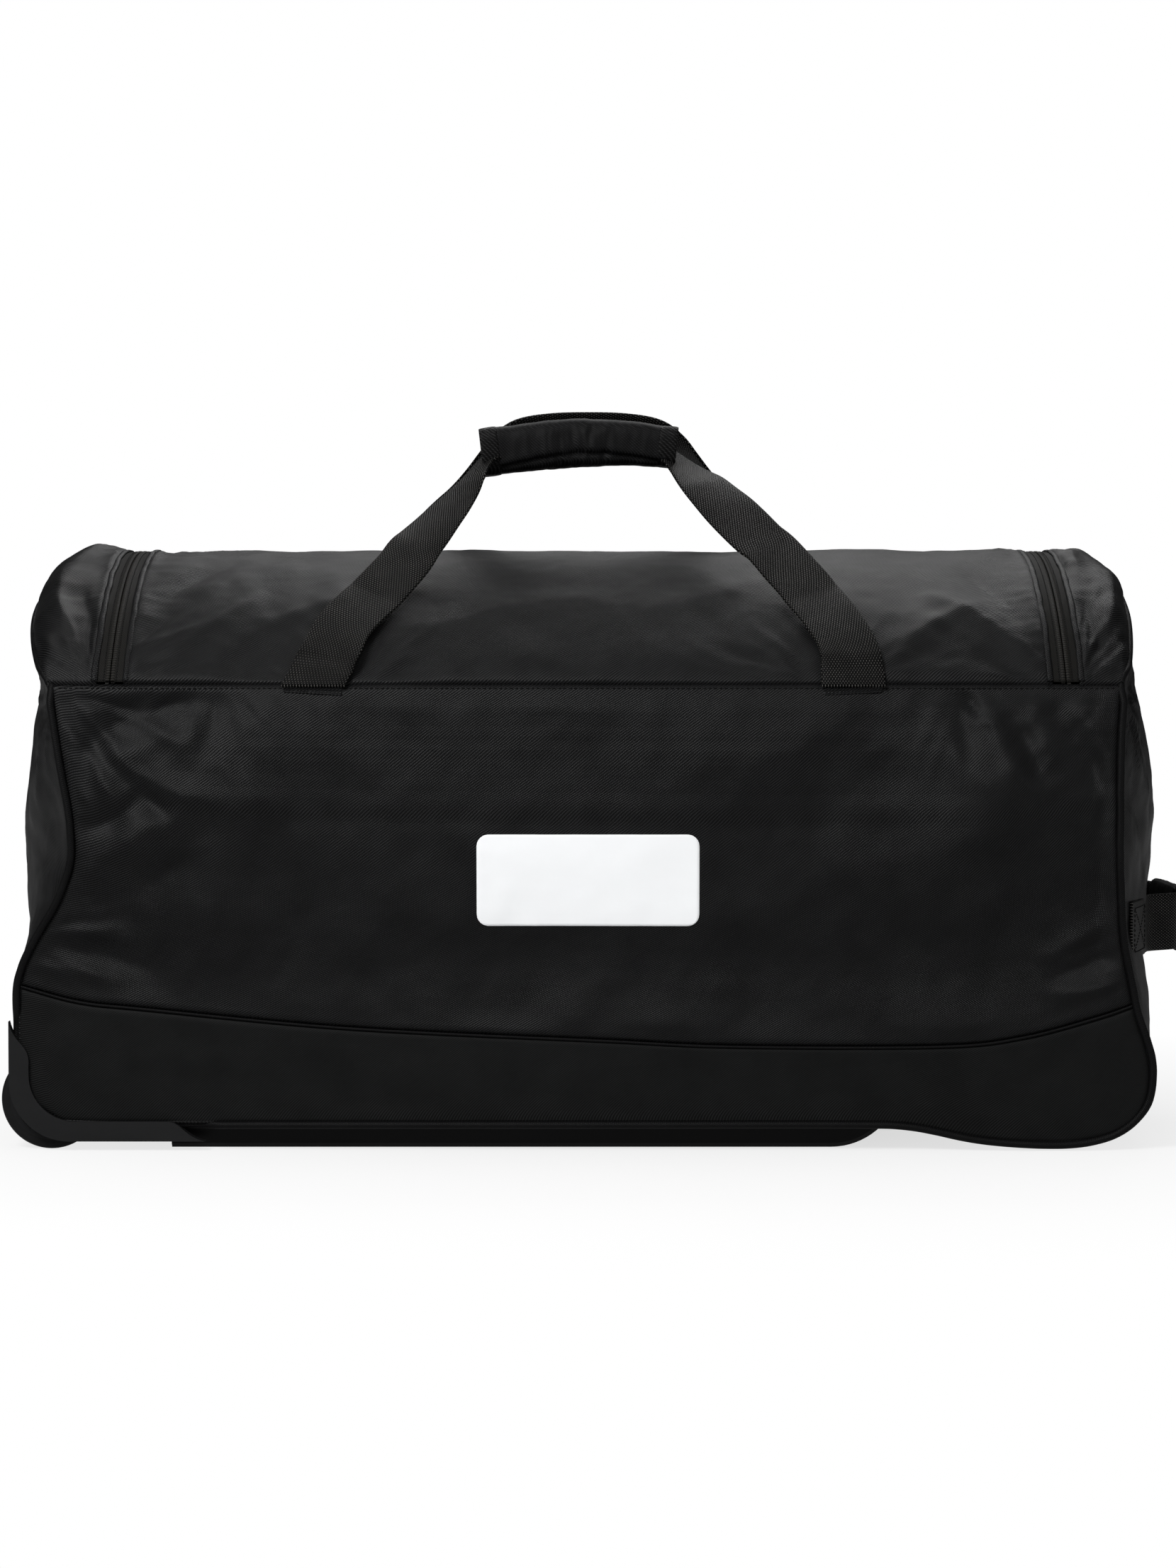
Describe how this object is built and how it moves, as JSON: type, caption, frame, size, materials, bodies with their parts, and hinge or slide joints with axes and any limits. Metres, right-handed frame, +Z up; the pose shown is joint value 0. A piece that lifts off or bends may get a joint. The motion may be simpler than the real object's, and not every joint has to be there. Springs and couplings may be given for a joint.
{
  "type": "hockey equipment bag",
  "caption": "Soft duffel on a stiff base with wheels at one end, skid rails, domed hood with a U-shaped zip lid, carry handles with a padded grip and a padded end handle",
  "frame": {"origin": "on the floor under the middle of the overall box", "axes": "+X along the bag to the pull-handle end, -X is the wheel end; -Y is the front with the padded grip; +Z up"},
  "size_m": [0.8296, 0.385, 0.5178],
  "materials": {
    "accent_fabric": "coated plain-weave polyester, black, smoother than the twill",
    "black_metal": "black lacquered zinc",
    "black_twill": "woven polyester twill, black, fine diagonal weave, slight sheen",
    "board": "black polyethylene board",
    "hub_plastic": "black nylon hub",
    "moulded_plastic": "satin dark grey moulding with fine texture",
    "padded_fabric": "foam-backed black fabric",
    "patch_film": "white printed film, matt",
    "piping_tape": "black binding tape",
    "rivet_metal": "black lacquered rivets",
    "skid_plastic": "black polypropylene, smooth",
    "steel": "plain turned steel",
    "tread": "soft polyurethane tread, black",
    "webbing": "black woven webbing with light catching ribs",
    "zip_coil": "black nylon coil",
    "zip_tape": "black zip tape, slightly warm"
  },
  "bodies": {
    "bag": {"base_board": "board", "bottom_panel": "black_twill", "front_accent_panel": "accent_fabric", "front_panel": "black_twill", "front_piping": "piping_tape", "front_strap_anchor_pull_side": "webbing", "front_strap_anchor_wheel_side": "webbing", "hood_pull_end": "black_twill", "hood_rear_strip": "black_twill", "hood_wheel_end": "black_twill", "name_patch": "patch_film", "pull_end_panel": "black_twill", "pull_handle_pad": "padded_fabric", "pull_handle_webbing": "webbing", "rail_rivets_front": "rivet_metal", "rail_rivets_rear": "rivet_metal", "rear_accent_panel": "accent_fabric", "rear_panel": "black_twill", "rear_piping": "piping_tape", "rear_strap_anchor_pull_side": "webbing", "rear_strap_anchor_wheel_side": "webbing", "skid_rail_front": "skid_plastic", "skid_rail_rear": "skid_plastic", "wheel_axle_front": "steel", "wheel_axle_rear": "steel", "wheel_end_panel": "black_twill", "wheel_housing_front": "moulded_plastic", "wheel_housing_rear": "moulded_plastic", "zip_coil_body": "zip_coil", "zip_tape_body": "zip_tape"},
    "lid": {"lid_panel": "black_twill", "zip_tape_lid": "zip_tape", "zip_coil_lid": "zip_coil"},
    "front_handle": {"front_handle_webbing": "webbing", "front_grip_sleeve": "padded_fabric", "grip_binding_wheel_side": "piping_tape", "grip_binding_pull_side": "piping_tape"},
    "rear_handle": {"rear_handle_webbing": "webbing"},
    "front_wheel": {"wheel_tread_front": "tread", "wheel_hub_front": "hub_plastic", "outer_bearing_front": "steel", "inner_bearing_front": "steel"},
    "rear_wheel": {"wheel_tread_rear": "tread", "wheel_hub_rear": "hub_plastic", "outer_bearing_rear": "steel", "inner_bearing_rear": "steel"},
    "slider_wheel_side": {"zip_slider_wheel_side": "black_metal"},
    "puller_wheel_side": {"zip_puller_wheel_side": "black_metal"},
    "slider_pull_side": {"zip_slider_pull_side": "black_metal"},
    "puller_pull_side": {"zip_puller_pull_side": "black_metal"}
  },
  "joints": [
    {"name": "lid_open", "type": "hinge", "parent": "bag", "child": "lid", "pos_m": [-0.0116, -0.1882, 0.3175], "axis": [1, 0, 0], "range_deg": [0, 100]},
    {"name": "front_handle_swing", "type": "hinge", "parent": "lid", "child": "front_handle", "pos_m": [-0.0116, -0.1882, 0.3175], "axis": [1, 0, 0], "range_deg": [0, 110]},
    {"name": "rear_handle_swing", "type": "hinge", "parent": "bag", "child": "rear_handle", "pos_m": [-0.0116, 0.1882, 0.3175], "axis": [-1, 0, 0], "range_deg": [0, 115]},
    {"name": "front_wheel_spin", "type": "hinge", "parent": "bag", "child": "front_wheel", "pos_m": [-0.3766, -0.1586, 0.034], "axis": [0, 1, 0], "continuous": true},
    {"name": "rear_wheel_spin", "type": "hinge", "parent": "bag", "child": "rear_wheel", "pos_m": [-0.3766, 0.1586, 0.034], "axis": [0, 1, 0], "continuous": true},
    {"name": "zip_slide_wheel_side", "type": "slide", "parent": "lid", "child": "slider_wheel_side", "axis": [-1, 0, 0], "range_m": [0, 0.215]},
    {"name": "puller_flip_wheel_side", "type": "hinge", "parent": "slider_wheel_side", "child": "puller_wheel_side", "pos_m": [-0.0316, 0.12009, 0.38111], "axis": [0, 0.8524, -0.5228], "range_deg": [0, 180]},
    {"name": "zip_slide_pull_side", "type": "slide", "parent": "lid", "child": "slider_pull_side", "axis": [1, 0, 0], "range_m": [0, 0.215]},
    {"name": "puller_flip_pull_side", "type": "hinge", "parent": "slider_pull_side", "child": "puller_pull_side", "pos_m": [0.0084, 0.12009, 0.38111], "axis": [0, -0.8524, 0.5228], "range_deg": [0, 180]}
  ],
  "couplings": [
    {"joint": "rear_handle_swing", "follows": "lid_open", "ratio": 1.15}
  ]
}
